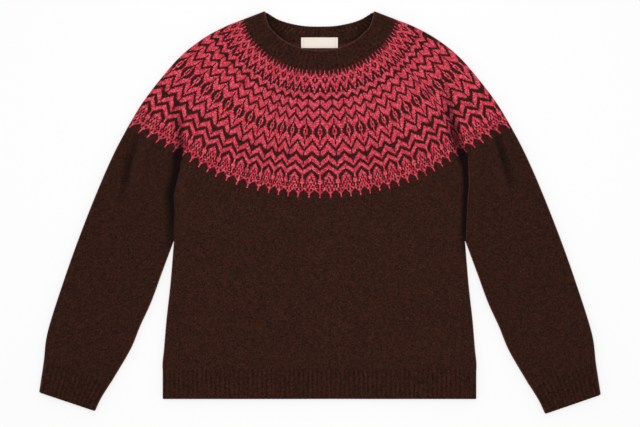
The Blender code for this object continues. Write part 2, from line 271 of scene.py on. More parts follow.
def layer(face, v, u, stack, sign, back):
    """Points of a row on the front layer, or on the back one, which lies on the surface."""
    at = face(np.array(u), v)
    x, y = at[:, 0] * sign, at[:, 1]
    z = np.zeros_like(x) if back else top_height(x, y, stack)
    return np.stack((x, y, z), -1)


def arc(front, back, v, at_end, stack, angles, sign):
    """Points of a fold at the side of a row: 90 degrees on the front layer, -90 on the back."""
    edge = 1.0 if at_end else 0.0
    lengths = row_length(front, v), row_length(back, v)
    inset = stack / 2 / lengths[0]
    x, y = front(edge - inset if at_end else edge + inset, v)
    radius = float(top_height(np.array([x * sign]), np.array([y]), stack)[0]) / 2
    points = []
    for angle in angles:
        a = math.radians(angle)
        face, length = (front, lengths[0]) if angle >= 0 else (back, lengths[1])
        reach = radius * (1 - math.cos(a)) / length
        x, y = face(edge - reach if at_end else edge + reach, v)
        points.append((x * sign, y, radius + radius * math.sin(a)))
    return np.array(points)


ANGLES = [90 - 180 * k / ARC_STEPS for k in range(1, ARC_STEPS)]


def spread(columns):
    """Places across the front and across the back, 0 at the centre and 1 at the side."""
    return tuple(np.linspace(0, 1, count) for count in columns)


def centre_column(columns):
    """Number of the column at the front's centre in a full ring."""
    return sum(columns) + len(ANGLES) - 1


def half_section(front, back, v, across, stack, sign, folded=True):
    """Front centre, over the side fold, to the back centre."""
    end_f = 1.0 - stack / 2 / row_length(front, v) if folded else 1.0
    end_b = 1.0 - stack / 2 / row_length(back, v) if folded else 1.0
    front_u, back_u = across
    parts = [layer(front, v, front_u * end_f, stack, sign, False)]
    if folded:
        parts.append(arc(front, back, v, True, stack, ANGLES, sign))
    else:
        parts.append(np.full((len(ANGLES), 3), np.nan))
    parts.append(layer(back, v, (back_u * end_b)[::-1], stack, sign, True))
    return np.concatenate(parts)


def full_ring(front, back, v, across, stack, folded=True):
    """From the back centre round by the wearer's right, the front and the left, and back."""
    right = half_section(front, back, v, across, stack, -1, folded)[::-1]
    left = half_section(front, back, v, across, stack, 1, folded)
    return np.concatenate((right, left[1:]))


def tube_section(face, v, across, stack, sign, inner_folded):
    """Outer fold, front layer, inner fold or armhole edge, back layer, and the outer fold again."""
    inset = stack / 2 / row_length(face, v)
    last = 1.0 - inset if inner_folded else 1.0
    u = inset + (last - inset) * across
    parts = [layer(face, v, u, stack, 1, False)]
    if inner_folded:
        parts.append(arc(face, face, v, True, stack, ANGLES, 1))
    else:
        parts.append(np.full((len(ANGLES), 3), np.nan))
    parts.append(layer(face, v, u[::-1], stack, 1, True))
    parts.append(arc(face, face, v, False, stack, [-a for a in ANGLES], 1))
    parts.append(parts[0][:1])
    return np.concatenate(parts)


# ---------------------------------------------------------------- meshes
def surface_normals(p, flip):
    """Outward normals of a closed ring of sections; missing points stay missing."""
    ring = np.concatenate((p[:, -2:-1], p, p[:, 1:2]), axis=1)
    ahead, behind = ring[:, 2:], ring[:, :-2]
    d_u = np.where(np.isnan(ahead), p, ahead) - np.where(np.isnan(behind), p, behind)
    up = np.concatenate((p[1:], p[-1:]))
    down = np.concatenate((p[:1], p[:-1]))
    d_v = np.where(np.isnan(up), p, up) - np.where(np.isnan(down), p, down)
    n = np.cross(d_u, d_v)
    n /= np.maximum(np.linalg.norm(n, axis=-1, keepdims=True), 1e-12)
    return -n if flip else n


def shell(name, p, wall, flip, layers, materials, rolled=()):
    """A closed ring of sections (rows, columns + 1, 3) as cloth with its wall on the inside.

    layers maps an attribute's name to its values (rows, columns + 1, 3) at every point.
    rolled names the end rows, 0 or -1, that are free edges and are rounded over."""
    rows, wide = p.shape[:2]
    cols = wide - 1
    n = surface_normals(p, flip)
    inner = p - n * wall
    inner[..., 2] = np.where(p[..., 2] < 1e-6, np.maximum(inner[..., 2], wall * 0.9), inner[..., 2])
    present = ~np.isnan(p[..., 0])
    number = -np.ones((rows, wide), dtype=int)
    count = int(present[:, :cols].sum())
    number[:, :cols][present[:, :cols]] = np.arange(count)
    number[:, cols] = number[:, 0]
    verts = [p[:, :cols][present[:, :cols]], inner[:, :cols][present[:, :cols]]]
    faces, params, kinds = [], [], []
    flat = np.arange(rows * wide).reshape(rows, wide)
    for k in range(rows - 1):
        for c in range(cols):
            corner = ((k, c), (k, c + 1), (k + 1, c + 1), (k + 1, c))
            ids = [number[q] for q in corner]
            if min(ids) < 0:
                continue
            par = [flat[q] for q in corner]
            if flip:
                ids, par = ids[::-1], par[::-1]
            faces.append(ids)
            params.append(par)
            kinds.append(0)
    used = {}
    for ids, par in list(zip(faces, params)):
        for q in range(4):
            a, b = ids[q], ids[(q + 1) % 4]
            used.setdefault((a, b), (par[q], par[(q + 1) % 4]))
        faces.append([i + count for i in ids[::-1]])
        params.append(par[::-1])
        kinds.append(1)
    rims = {e: w for e, w in used.items() if (e[1], e[0]) not in used}
    roll_rows = {r % rows for r in rolled}
    bridge, extra, sharp = {}, [], []
    p_flat, n_flat, in_flat = p.reshape(-1, 3), n.reshape(-1, 3), inner.reshape(-1, 3)

    def rim_chain(vertex, at):
        """Vertices from the outer face over the edge to the inner one."""
        if vertex in bridge:
            return bridge[vertex]
        row = at // wide
        chain = [vertex]
        if row in roll_rows:
            other = p_flat[at - wide] if row == rows - 1 else p_flat[at + wide]
            out = p_flat[at] - other
            out /= max(np.linalg.norm(out), 1e-9)
            middle = (p_flat[at] + in_flat[at]) / 2
            across = (p_flat[at] - in_flat[at]) / 2
            reach = np.linalg.norm(across)
            for s in range(1, ROLL_STEPS):
                a = math.pi * s / ROLL_STEPS
                extra.append(middle + across * math.cos(a) + out * reach * math.sin(a) * 0.8)
                chain.append(2 * count + len(extra) - 1)
        chain.append(vertex + count)
        bridge[vertex] = chain
        return chain

    for (a, b), (pa, pb) in rims.items():
        first, second = rim_chain(a, pa), rim_chain(b, pb)
        if len(first) != len(second):
            first, second = [first[0], first[-1]], [second[0], second[-1]]
        if len(first) == 2:
            sharp.append((a, b))
            sharp.append((a + count, b + count))
        for s in range(len(first) - 1):
            faces.append([second[s], first[s], first[s + 1], second[s + 1]])
            params.append([pb, pa, pa, pb])
            kinds.append(0 if len(first) > 2 else 1)
    mesh = bpy.data.meshes.new(name)
    verts += [np.array(extra)] if extra else []
    mesh.from_pydata(np.concatenate(verts).tolist(), [], faces)
    for mat in materials:
        mesh.materials.append(mat)
    mesh.polygons.foreach_set("material_index", [min(k, len(materials) - 1) for k in kinds])
    pick = np.array(params).reshape(-1)
    for label, values in layers.items():
        mesh.attributes.new(label, "FLOAT_VECTOR", "CORNER").data.foreach_set(
            "vector", np.nan_to_num(values.reshape(-1, 3)[pick]).astype(np.float32).ravel())
    mesh.shade_smooth()
    hard = {tuple(sorted(e)) for e in sharp}
    mesh.edges.foreach_set("use_edge_sharp",
                           [tuple(sorted(e.vertices)) in hard for e in mesh.edges])
    mesh.validate()
    mesh.update()
    obj = bpy.data.objects.new(name, mesh)
    bpy.context.scene.collection.objects.link(obj)
    return obj


def along(p):
    """Length run along a closed ring's middle section, from its first point."""
    middle = p[len(p) // 2]
    if np.isnan(middle).any():
        middle = [r for r in p if not np.isnan(r).any()][-1]
    return np.concatenate(([0.0], np.cumsum(np.linalg.norm(np.diff(middle, axis=0), axis=1))))


def knit_layer(p, repeat=1, centre=None):
    """Stitch column, row of stitches and depth below the ridges, at every point."""
    run = along(p)
    total = max(repeat, round(run[-1] / STITCH / repeat) * repeat)
    column = run / run[-1] * total
    if centre is not None:
        column = column - column[centre]
    out = np.zeros(p.shape)
    out[..., 0] = column
    out[..., 1] = p[..., 1] / ROW
    return out


def ribbed(p, flip, knit, depth, fade=None):
    """Sinks the purl columns of a 2x2 rib below the plain ones."""
    phase = np.mod(knit[..., 0] + 1.0, RIB) / RIB
    t = np.abs(phase - 0.25) * 2.0           # 0 on the ridge, up to 1.5 across the trough
    t = np.minimum(t, 2.0 - t)
    sink = 1.0 / (1.0 + np.exp(-(t - 0.62) * 11.0))
    knit[..., 2] = sink
    size = depth if fade is None else depth * fade[:, None]
    return p - surface_normals(p, flip) * (sink * size)[..., None]


# ---------------------------------------------------------------- shader arithmetic
class Flow:
    """A number running through a node tree, with the usual arithmetic."""

    def __init__(self, tree, socket):
        self.tree, self.socket = tree, socket

    def step(self, operation, *others, clamp=False):
        node = self.tree.nodes.new("ShaderNodeMath")
        node.operation, node.use_clamp = operation, clamp
        for slot, value in zip(node.inputs, (self,) + others):
            if isinstance(value, Flow):
                self.tree.links.new(value.socket, slot)
            else:
                slot.default_value = value
        return Flow(self.tree, node.outputs[0])

    def __add__(self, o): return self.step("ADD", o)
    def __radd__(self, o): return self.step("ADD", o)
    def __sub__(self, o): return self.step("SUBTRACT", o)
    def __rsub__(self, o): return self.step("MULTIPLY_ADD", -1.0, o)
    def __mul__(self, o): return self.step("MULTIPLY", o)
    def __rmul__(self, o): return self.step("MULTIPLY", o)
    def __neg__(self): return self.step("MULTIPLY", -1.0)
    def __abs__(self): return self.step("ABSOLUTE")
    def floor(self): return self.step("FLOOR")
    def fract(self): return self.step("FRACT")
    def over(self, o): return self.step("GREATER_THAN", o)
    def times_plus(self, a, b): return self.step("MULTIPLY_ADD", a, b)
    def held(self): return self.step("ADD", 0.0, clamp=True)


def least(first, *others):
    for o in others:
        first = first.step("MINIMUM", o)
    return first


def most(first, *others):
    for o in others:
        first = first.step("MAXIMUM", o)
    return first


def split(tree, socket):
    node = tree.nodes.new("ShaderNodeSeparateXYZ")
    tree.links.new(socket, node.inputs[0])
    return [Flow(tree, s) for s in node.outputs]


def join(tree, *values):
    node = tree.nodes.new("ShaderNodeCombineXYZ")
    for slot, value in zip(node.inputs, values):
        if isinstance(value, Flow):
            tree.links.new(value.socket, slot)
        else:
            slot.default_value = value
    return node.outputs[0]


def attribute(tree, name):
    node = tree.nodes.new("ShaderNodeAttribute")
    node.attribute_name = name
    return node.outputs["Vector"]


def noise(tree, vector, scale, detail=2.0, roughness=0.5):
    node = tree.nodes.new("ShaderNodeTexNoise")
    node.inputs["Scale"].default_value = scale
    node.inputs["Detail"].default_value = detail
    node.inputs["Roughness"].default_value = roughness
    tree.links.new(vector, node.inputs["Vector"])
    return Flow(tree, node.outputs[0])


def position(tree):
    return tree.nodes.new("ShaderNodeTexCoord").outputs["Object"]


def mixed(tree, factor, a, b):
    node = tree.nodes.new("ShaderNodeMix")
    node.data_type = "RGBA"
    for slot, value in ((node.inputs[0], factor), (node.inputs[6], a), (node.inputs[7], b)):
        if isinstance(value, Flow):
            tree.links.new(value.socket, slot)
        elif isinstance(value, bpy.types.NodeSocket):
            tree.links.new(value, slot)
        elif isinstance(value, float):
            slot.default_value = value
        else:
            slot.default_value = (*value, 1.0)
    return node.outputs[2]


def scaled(tree, colour, factor):
    """A colour made lighter or darker."""
    node = tree.nodes.new("ShaderNodeVectorMath")
    node.operation = "SCALE"
    if isinstance(colour, bpy.types.NodeSocket):
        tree.links.new(colour, node.inputs[0])
    else:
        node.inputs[0].default_value = colour
    tree.links.new(factor.socket, node.inputs["Scale"])
    return node.outputs[0]


# ---------------------------------------------------------------- the yoke's chart
# Zigzag bands of pink: top and bottom edges as chart rows, each at the line through the
# diamonds (0) and half a repeat away from it (half); first and last cut a band's points off.
UNCUT = 99.0              # a band's last row where its lower points are whole
BANDS = (
    # top 0, top half, bottom 0, bottom half, first, last
    (8.0, 2.6, 11.6, 6.6, 0.0, UNCUT),
    (8.0, 14.2, 12.2, 23.0, 0.0, UNCUT),
    (19.8, 25.4, 25.0, 30.2, 22.3, UNCUT),
    (27.4, 33.0, 34.3, 40.1, 29.7, UNCUT),
    (36.9, 42.9, 43.1, 50.1, 38.3, UNCUT),
    (46.2, 53.2, 54.0, 66.0, 0.0, UNCUT),
    (70.5, 62.5, 79.1, 69.4, 0.0, UNCUT),
    (82.7, 73.0, 89.0, 80.7, 0.0, 85.9),
    (92.6, 85.0, 97.8, 90.8, 0.0, UNCUT),
    (101.2, 94.3, 105.8, 99.4, 0.0, UNCUT),
)
EDGE = 13.0               # sharpness of upright edges, in rows a repeat


def chart(i, r, j):
    """How far inside the pink a point of the chart is, in rows; below zero is dark.

    i counts repeats, whole on the lines through the diamonds; r counts rows down from the
    neck seam; j counts the teeth of the lower edge."""
    t = 1.0 - abs(i.fract().times_plus(2.0, -1.0))    # 0 at the diamonds, 1 halfway between
    c = t * 0.5                                       # repeats away from the diamonds' line
    h = 0.5 - c                                       # and from the line halfway

    def bar(from_line, half_width, top, bottom):
        return least(r - top, bottom - r, (half_width - from_line) * EDGE)

    pink = most(bar(c, 0.07, 0.3, 9.0) * 0.40, bar(h, 0.07, 0.3, 3.4) * 0.40)
    for top_0, top_5, low_0, low_5, first, last in BANDS:
        band = least(r - t.times_plus(top_5 - top_0, top_0),
                     t.times_plus(low_5 - low_0, low_0) - r)
        band = least(band, r - first) if first else band
        band = least(band, last - r) if last < UNCUT else band
        pink = most(pink, band * 0.75)
    pink = most(pink, bar(h, 0.06, 7.4, 11.8) * 0.7, bar(c, 0.06, 17.8, 23.4) * 0.6)
    for from_line, half_width, top, bottom in ((h, 0.05, 16.6, 18.8), (c, 0.05, 29.0, 34.8),
                                               (c, 0.05, 40.4, 43.8), (c, 0.05, 48.8, 53.0)):
        pink = least(pink, -bar(from_line, half_width, top, bottom))
    diamond = least((0.40 - c) * EDGE, r - c.times_plus(15.0, 53.2), c.times_plus(-15.0, 71.0) - r)
    pink = least(pink, -diamond)
    ring = least(bar(c, 0.15, 58.8, 65.2), -bar(c, 0.05, 60.2, 63.4))
    pink = most(pink, bar(c, 0.05, 55.2, 59.6), bar(c, 0.05, 64.8, 70.0), ring)
    for half_width, top, bottom in ((0.04, 70.2, 75.2), (0.04, 80.0, 87.0), (0.05, 90.5, 95.0)):
        pink = least(pink, -bar(c, half_width, top, bottom))
    arms = most(least(r - t.times_plus(-9.8, 112.2), t.times_plus(-15.4, 122.4) - r),
                least(r - t.times_plus(-16.0, 125.2), t.times_plus(-16.0, 129.4) - r))
    reach = ((r - 111.0) * 0.018).held() + 0.26
    arms = least(arms * 0.75, (reach - h) * EDGE, 119.5 - r, -bar(h, 0.05, 113.0, 115.0))
    oval = least((0.15 - c) * EDGE, 3.4 - abs(r - 111.9) - c * 11.0)
    pink = most(pink, arms, oval, bar(c, 0.04, 105.0, 109.5),
                bar(c, 0.05, 114.5, 118.8), bar(h, 0.04, 115.4, 118.4))
    tooth = abs((j + 0.5).fract() - 0.5)
    notch = ((119.8 - r) * 0.100 + 0.5 - tooth) * 12.0
    dots = least((0.075 - abs(tooth - 0.17)) * 9.0, 0.95 - abs(r - 120.4))
    pink = least(most(pink, least(r - 118.2, 125.0 - r)), notch, -dots)
    return most(pink, least(r - 121.0, 128.4 - r, (0.075 - tooth) * 12.0))


# Angles of the repeats' lines from straight down, and how far the neck seam and the edge are
# from the columns' centre at given angles; the teeth are given as angles and counts.
REPEATS_RIGHT = (0.0, 0.0823, 0.158, 0.2166, 0.2734, 0.341, 0.4064, 0.478, 0.554, 0.630, 0.702,
                 0.776, 0.8476, 0.911, 0.975)
REPEATS_LEFT = (0.0, 0.0825, 0.162, 0.231, 0.301, 0.369, 0.440, 0.517, 0.586, 0.649, 0.681,
                0.739, 0.813, 0.881, 0.945)
FAN_CENTRE = (0.0009, 0.4112)   # the chart's columns all run from this point
NECK_REACH = ((0.0, 0.236, 0.421, 0.599, 0.756, 0.871, 1.1),
              (0.184, 0.1837, 0.1796, 0.174, 0.1672, 0.1575, 0.138))
EDGE_REACH = ((0.0, 0.259, 0.447, 0.603, 0.747, 0.841, 1.1),
              (0.3896, 0.3906, 0.3929, 0.3913, 0.4014, 0.4134, 0.452))
DIAMOND_LINE = 0.485      # share of the way down the yoke; columns lean above it and below it
CHART_ROWS = 128.5
TEETH_RIGHT = ((0.0, 0.0918, 0.2143, 0.4412, 0.6418, 0.836, 1.0), (0, 2, 5, 10, 15, 20, 24))
TEETH_LEFT = ((0.0, 0.0880, 0.2090, 0.4117, 0.6020, 0.7917, 0.95), (0, 2, 5, 10, 15, 20, 24))
BACK_REPEAT = 24.0        # repeats from the front's centre to the back's


def chart_place(x, y):
    """Repeat, row and tooth at points of the front's plan."""
    right, down = x - FAN_CENTRE[0], FAN_CENTRE[1] - y
    angle, reach = np.arctan2(right, down), np.hypot(right, down)
    a = np.abs(angle)
    near, far = np.interp(a, *NECK_REACH), np.interp(a, *EDGE_REACH)
    v = (reach - near) / (far - near)
    above = np.clip(1 - v / DIAMOND_LINE, 0, 1) ** 2
    below = np.clip(v - DIAMOND_LINE, 0, 1) ** 2
    lean = a * (1 + (0.055 + 0.06 * a * a) * above + 0.25 * below)
    n = np.arange(len(REPEATS_RIGHT))
    repeat = np.where(angle < 0, -np.interp(lean, REPEATS_RIGHT, n),
                      np.interp(lean, REPEATS_LEFT, n))
    tooth = np.where(angle < 0, -np.interp(a, *TEETH_RIGHT), np.interp(a, *TEETH_LEFT))
    return repeat, v * CHART_ROWS, tooth


# ---------------------------------------------------------------- materials
BROWN = (0.0275, 0.0084, 0.0046)
BROWN_FLECK = (0.068, 0.030, 0.020)
# colour of a painted highlight along the brown cloth's turned-over sides
RIM_LIGHT_BROWN = (0.200, 0.062, 0.050)
YOKE_DARK = (0.035, 0.0088, 0.0064)
PINK = (0.640, 0.044, 0.078)
PINK_LIGHT = (0.90, 0.150, 0.200)
PINK_DEEP = (0.270, 0.012, 0.024)
# colour of a painted highlight along the yoke's turned-over sides
RIM_LIGHT_PINK = (0.720, 0.170, 0.190)
# brown of the floats inside, darkened further as painted shade near the label
INSIDE_BROWN_AND_SHADE = (0.050, 0.0165, 0.0125)
CREAM = (0.845, 0.760, 0.665)
LEG_SLANT = 1.1           # rows that a stitch's legs climb from their meeting to its sides
BUMP_DEPTH = 0.0006       # relief of a stitch and its fuzz
FEW, WIDER, WIDEST = 8.0, 26.0, 75.0   # stitches a repeat at the neck; two more past these rows


def fabric(name, sheen, roughness=0.95, tint=(1.0, 0.62, 0.55)):
    """A plain cloth shader: rough, almost without gloss, with a soft sheen."""
    mat = bpy.data.materials.new(name)
    mat.use_nodes = True
    shader = mat.node_tree.nodes["Principled BSDF"]
    shader.inputs["Roughness"].default_value = roughness
    shader.inputs["Specular IOR Level"].default_value = 0.08
    shader.inputs["Sheen Weight"].default_value = sheen
    shader.inputs["Sheen Roughness"].default_value = 0.5
    shader.inputs["Sheen Tint"].default_value = (*tint, 1.0)
    return mat, mat.node_tree, shader


def stitches(tree, column, row):
    """Plain knitting: height of the yarn over its gaps, 0 to 1."""
    a = abs(column.fract() - 0.5)
    leg = 1.0 - abs(a.times_plus(4.0, -1.0))
    run = abs((row - a * LEG_SLANT).fract() - 0.5) * 2.0
    return leg.step("POWER", 0.6) * (1.0 - run.step("POWER", 3.0))


def bump(tree, shader, height, distance, strength=1.0):
    node = tree.nodes.new("ShaderNodeBump")
    node.inputs["Distance"].default_value = distance
    node.inputs["Strength"].default_value = strength
    tree.links.new(height.socket, node.inputs["Height"])
    tree.links.new(node.outputs[0], shader.inputs["Normal"])


def white(tree, x, y):
    """One random number for each stitch."""
    node = tree.nodes.new("ShaderNodeTexWhiteNoise")
    node.noise_dimensions = "2D"
    tree.links.new(join(tree, x, y, 0.0), node.inputs["Vector"])
    return Flow(tree, node.outputs["Value"])


def painted_shade_and_highlight(tree, loss=0.93, name="lie"):
    """Painted shade down in a trough and a painted highlight high on a fold: 1 on the level, less
    below, a little more above.
    """
    lie = split(tree, attribute(tree, name))[0]
    return (-lie).held() * -loss + 1.0 + lie.held() * 0.10


def turned(tree):
    """0 on the level to 1 where the cloth turns over at its sides, the mask of a painted highlight
    there.
    """
    node = tree.nodes.new("ShaderNodeNewGeometry")
    up = abs(split(tree, node.outputs["Normal"])[2])
    return ((0.78 - up) * 2.2).held()


def brown_knit(name, tone=1.0, ribs=False, edge_row=None, lie="lie", rim_light=0.75):
    """Brushed brown knitting, with painted shade and highlights; edge_row is the row where a
    painted highlight begins to lighten a folded edge.
    """
    mat, tree, shader = fabric(name, 0.10)
    column, row, sink = split(tree, attribute(tree, "knit"))
    at = position(tree)
    stitch = stitches(tree, column, row)
    each = white(tree, column.floor(), (row - abs(column.fract() - 0.5) * LEG_SLANT).floor())
    fibre = noise(tree, at, 380.0, 4.0, 0.75)
    cloud = noise(tree, at, 55.0, 2.0)
    fleck = noise(tree, at, 300.0, 3.0, 0.8)
    amount = (fibre - 0.5) * 2.3 + (each - 0.5) * 0.95 + (cloud - 0.5) * 0.30
    # painted shade in the gaps between stitches, lighter on the yarn's legs
    amount = amount + stitch * 0.16 + 0.92
    if ribs:
        # painted shade down in the rib's troughs
        amount = amount - sink * (0.22 if edge_row else 0.34)
    if edge_row:
        # painted highlight along the folded free edge, growing past edge_row
        amount = amount + ((row - edge_row) * 0.8).held() * 0.70
    base = mixed(tree, ((fleck - 0.55) * 3.0).held(), BROWN, BROWN_FLECK)
    # painted highlight, lighter and redder, where the cloth turns over at its sides
    if rim_light:
        base = mixed(tree, turned(tree) * rim_light, base, RIM_LIGHT_BROWN)
    # painted shade and highlight from the attribute named by lie: troughs and shaded places darker,
    # folds lighter
    amount = amount * painted_shade_and_highlight(tree, name=lie)
    tree.links.new(scaled(tree, base, most(amount * tone, 0.15)), shader.inputs["Base Color"])
    bump(tree, shader, stitch * 0.5 + fibre * 0.6, BUMP_DEPTH, 0.6)
    return mat


def colour_work(name, inside=False):
    """The charted knitting in pink on brown; inside, the floats hide most of the pink, and their
    brown is darkened further as painted shade.
    """
    mat, tree, shader = fabric(name, 0.1 if inside else 0.05, 0.93)
    repeat, rows, tooth = split(tree, attribute(tree, "chart"))
    at = position(tree)
    count = (rows.over(WIDER) + rows.over(WIDEST)) * 2.0 + FEW
    drift = noise(tree, at, 420.0, 2.0, 0.6)
    drift_2 = noise(tree, join(tree, *[f + 7.3 for f in split(tree, at)]), 420.0, 2.0, 0.6)
    column = repeat * count + 0.5 + (drift - 0.5) * 0.45
    a = abs(column.fract() - 0.5)
    row = rows + (drift_2 - 0.5) * 0.9 - a * 1.0 + 0.25
    depth = chart(column.floor().step("DIVIDE", count), row.floor() + 0.5,
                  tooth + (drift - 0.5) * 0.06)
    mask = (depth * 1.9 + 0.06).held()
    leg = 1.0 - abs(a.times_plus(4.0, -1.0))
    run = abs(row.fract() - 0.5) * 2.0
    stitch = leg.step("POWER", 0.6) * (1.0 - run.step("POWER", 3.0))
    fibre = noise(tree, at, 700.0, 3.0, 0.65)
    each = white(tree, column.floor(), row.floor())
    cloud = noise(tree, at, 60.0, 2.0)
    pink = mixed(tree, (each * 2.2 - 1.3 + (fibre - 0.5) * 1.0).held(), PINK, PINK_LIGHT)
    pink = mixed(tree, ((0.36 - each) * 2.2 + (0.5 - fibre) * 1.5).held(), pink, PINK_DEEP)
    # painted shade in the gaps between stitches, lighter on the yarn's legs, in the pink and in the
    # brown
    pink = scaled(tree, pink, stitch * 0.60 + 0.66 + (cloud - 0.5) * 0.25)
    dark = scaled(tree, YOKE_DARK,
                  (fibre - 0.5) * 1.2 + (each - 0.5) * 0.7 + stitch * 0.25 + 0.85)
    # painted shade in the yoke's troughs and painted highlight on its folds
    colour = scaled(tree, mixed(tree, mask, dark, pink), painted_shade_and_highlight(tree, 0.80))
    if inside:
        # the floats' brown, darkened as painted shade
        colour = mixed(tree, 0.91, colour, INSIDE_BROWN_AND_SHADE)
    else:
        # painted highlight where the yoke turns over at its sides
        colour = mixed(tree, turned(tree) * 0.40, colour, RIM_LIGHT_PINK)
    tree.links.new(colour, shader.inputs["Base Color"])
    bump(tree, shader, stitch * 0.6 + fibre * 0.5 + mask * 0.2, BUMP_DEPTH, 0.6)
    return mat


low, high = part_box("neck_label")
LABEL_MIDDLE = ((low.x + high.x) / 2, (low.y + high.y) / 2)
LABEL_HALF = ((high.x - low.x) / 2, (high.y - low.y) / 2)
SEAM_IN, FOLD_IN = 0.0042, 0.0023      # label's end seams and its side folds, from its edges
THREADS = 1600.0                       # of the tape, a metre
SEAM_STITCHES = 420.0                  # of the end seams, a metre


def tape(name):
    """Blank woven tape with a line of stitches along each end."""
    mat, tree, shader = fabric(name, 0.05, 0.6, (1.0, 1.0, 1.0))
    at = position(tree)
    x, y = split(tree, at)[:2]
    weave = abs((x * THREADS).fract() - 0.5) + abs((y * THREADS).fract() - 0.5)
    cloth = noise(tree, at, 300.0, 2.0)
    from_end = LABEL_HALF[0] - abs(x - LABEL_MIDDLE[0])
    from_side = LABEL_HALF[1] - abs(y - LABEL_MIDDLE[1])
    stitched = abs((y * SEAM_STITCHES).fract() - 0.5) * -1.2 + 1.0
    seam = ((0.00042 - abs(from_end - SEAM_IN)) * 9000.0).held() * stitched
    fold = ((0.0004 - abs(from_side - FOLD_IN)) * 9000.0).held()
    # the end seams are darker thread; the side folds get a painted shade line
    tone = weave * 0.10 + 0.95 + (cloth - 0.5) * 0.06 - seam * 0.30 - fold * 0.05
    tree.links.new(scaled(tree, CREAM, tone), shader.inputs["Base Color"])
    bump(tree, shader, weave, 0.0001, 0.5)
    return mat


body_look = brown_knit("body_knit")
# painted shade: the sleeves (0.92) and cuffs (0.96) are darker copies of the body's and the hem's
# knitting, for the light falling off away from the centre
sleeve_look = brown_knit("sleeve_knit", 0.92)
hem_look = brown_knit("hem_rib_knit", 1.06, ribs=True)
cuff_look = brown_knit("cuff_rib_knit", 0.96, ribs=True)
band_look = brown_knit("neckband_rib_knit", 1.06, ribs=True, edge_row=18.2)
band_inside = brown_knit("neckband_inside_knit", 1.12, ribs=True, edge_row=18.6, lie="under")
inside_look = brown_knit("inside_knit", 0.9, rim_light=0.0)
yoke_look = colour_work("yoke_knit")
yoke_inside = colour_work("yoke_inside", inside=True)
label_look = tape("label_tape")

# ---------------------------------------------------------------- plan of the pieces
neck_front, neck_back = curve(NECK_SEAM_FRONT, True), curve(NECK_SEAM_BACK, True)
edge_front, edge_back = curve(YOKE_EDGE_FRONT, True), curve(YOKE_EDGE_BACK, True)
edge_sleeve = curve(YOKE_EDGE_SLEEVE)
shoulder = curve(SHOULDER_FOLD)
low_front, low_back = joined(edge_front, edge_sleeve), joined(edge_back, edge_sleeve)
GAP = SEAM / 2


def yoke_face(neck, low):
    top, bottom = shifted(neck, -GAP), shifted(low, -OVERLAP)
    return patch(bottom, top, line(bottom(0), top(0)),
                 ended(reverse(shoulder), bottom(1), top(1)))


def chart_layer(rings, steps_v):
    """Repeat, row and tooth at every point; at the back they run on evenly to its centre."""
    centre, half = centre_column(YOKE_COLUMNS), sum(YOKE_COLUMNS) + len(ANGLES)
    last = YOKE_COLUMNS[0] + len(ANGLES) // 2     # the last point that takes the front's chart
    front = np.stack(chart_place(rings[..., 0], rings[..., 1]), axis=-1)
    place = np.zeros(rings.shape)
    for sign in (-1, 1):
        cols = centre + sign * np.arange(half)
        for k, v in enumerate(steps_v):
            at = front[k, cols]
            steps = np.linalg.norm(np.diff(rings[k, cols[last:]], axis=0), axis=1)
            run = np.cumsum(steps)
            s = run / run[-1]
            i, r, j = at[last]
            at[last + 1:, 0] = i + (sign * BACK_REPEAT - i) * s
            at[last + 1:, 1] = r + (CHART_ROWS * (1 - v) - r) * (1 - soft(s * 2.0))
            at[last + 1:, 2] = j + (sign * BACK_TEETH - j) * s
            place[k, cols] = at
    return place


# yoke
faces = yoke_face(neck_front, low_front), yoke_face(neck_back, low_back)
steps_v = np.linspace(0, 1, YOKE_ROWS)
rings = np.array([full_ring(*faces, v, spread(YOKE_COLUMNS), STACK + LAP) for v in steps_v])
yoke = shell("yoke_colour_work", rings, KNIT_WALL, False,
             {"chart": chart_layer(rings, steps_v), "lie": lie_layer(rings)},
             [yoke_look, yoke_inside])


# neckband
def band_face(neck, free_edge):
    bottom, top = shifted(neck, GAP), curve(free_edge, True)
    return patch(bottom, top, line(bottom(0), top(0)), line(bottom(1), top(1)))


def under_front(p):
    """How far the back of the neckband lies in the shade of the front's free edge, 0 to -1."""
    x, y = np.abs(np.nan_to_num(p[..., 0])), np.nan_to_num(p[..., 1])
    rim = curve(NECK_EDGE_FRONT, True)(np.linspace(0, 1, 120))
    gap = np.hypot(x[..., None] - rim[:, 0], y[..., None] - rim[:, 1]).min(axis=-1)
    shade = 0.62 * np.exp(-gap / 0.0055) + 0.34 * (1 - soft((x - 0.045) / 0.035))
    out = np.zeros(p.shape)
    out[..., 0] = np.where(np.nan_to_num(p[..., 2]) < BAND_STACK * 0.45, -np.clip(shade, 0, 1), 0.0)
    return out


faces = band_face(neck_front, NECK_EDGE_FRONT), band_face(neck_back, NECK_EDGE_BACK)
steps_v = np.linspace(0, 1, BAND_ROWS)
rings = np.array([full_ring(*faces, v, spread(BAND_COLUMNS), BAND_STACK) for v in steps_v])
knit = knit_layer(rings, RIB, centre=centre_column(BAND_COLUMNS))
knit[..., 1] = (steps_v * BAND_DEPTH / ROW)[:, None]
rings = ribbed(rings, False, knit, BAND_SINK, fade=soft((steps_v - 0.72) / 0.28) * 0.75 + 0.25)
neckband = shell("neckband_rib", rings, BAND_WALL, False,
                 {"knit": knit, "under": under_front(rings)},
                 [band_look, band_inside], rolled=(-1,))

# body
side, armhole = curve(BODY_SIDE), curve(ARMHOLE)
body_edge = shifted(joined(side, armhole), GAP)
body_edge = ended(body_edge, body_edge(0), body_edge(1) - (0.0, GAP))
side_share = side.length / (side.length + armhole.length)


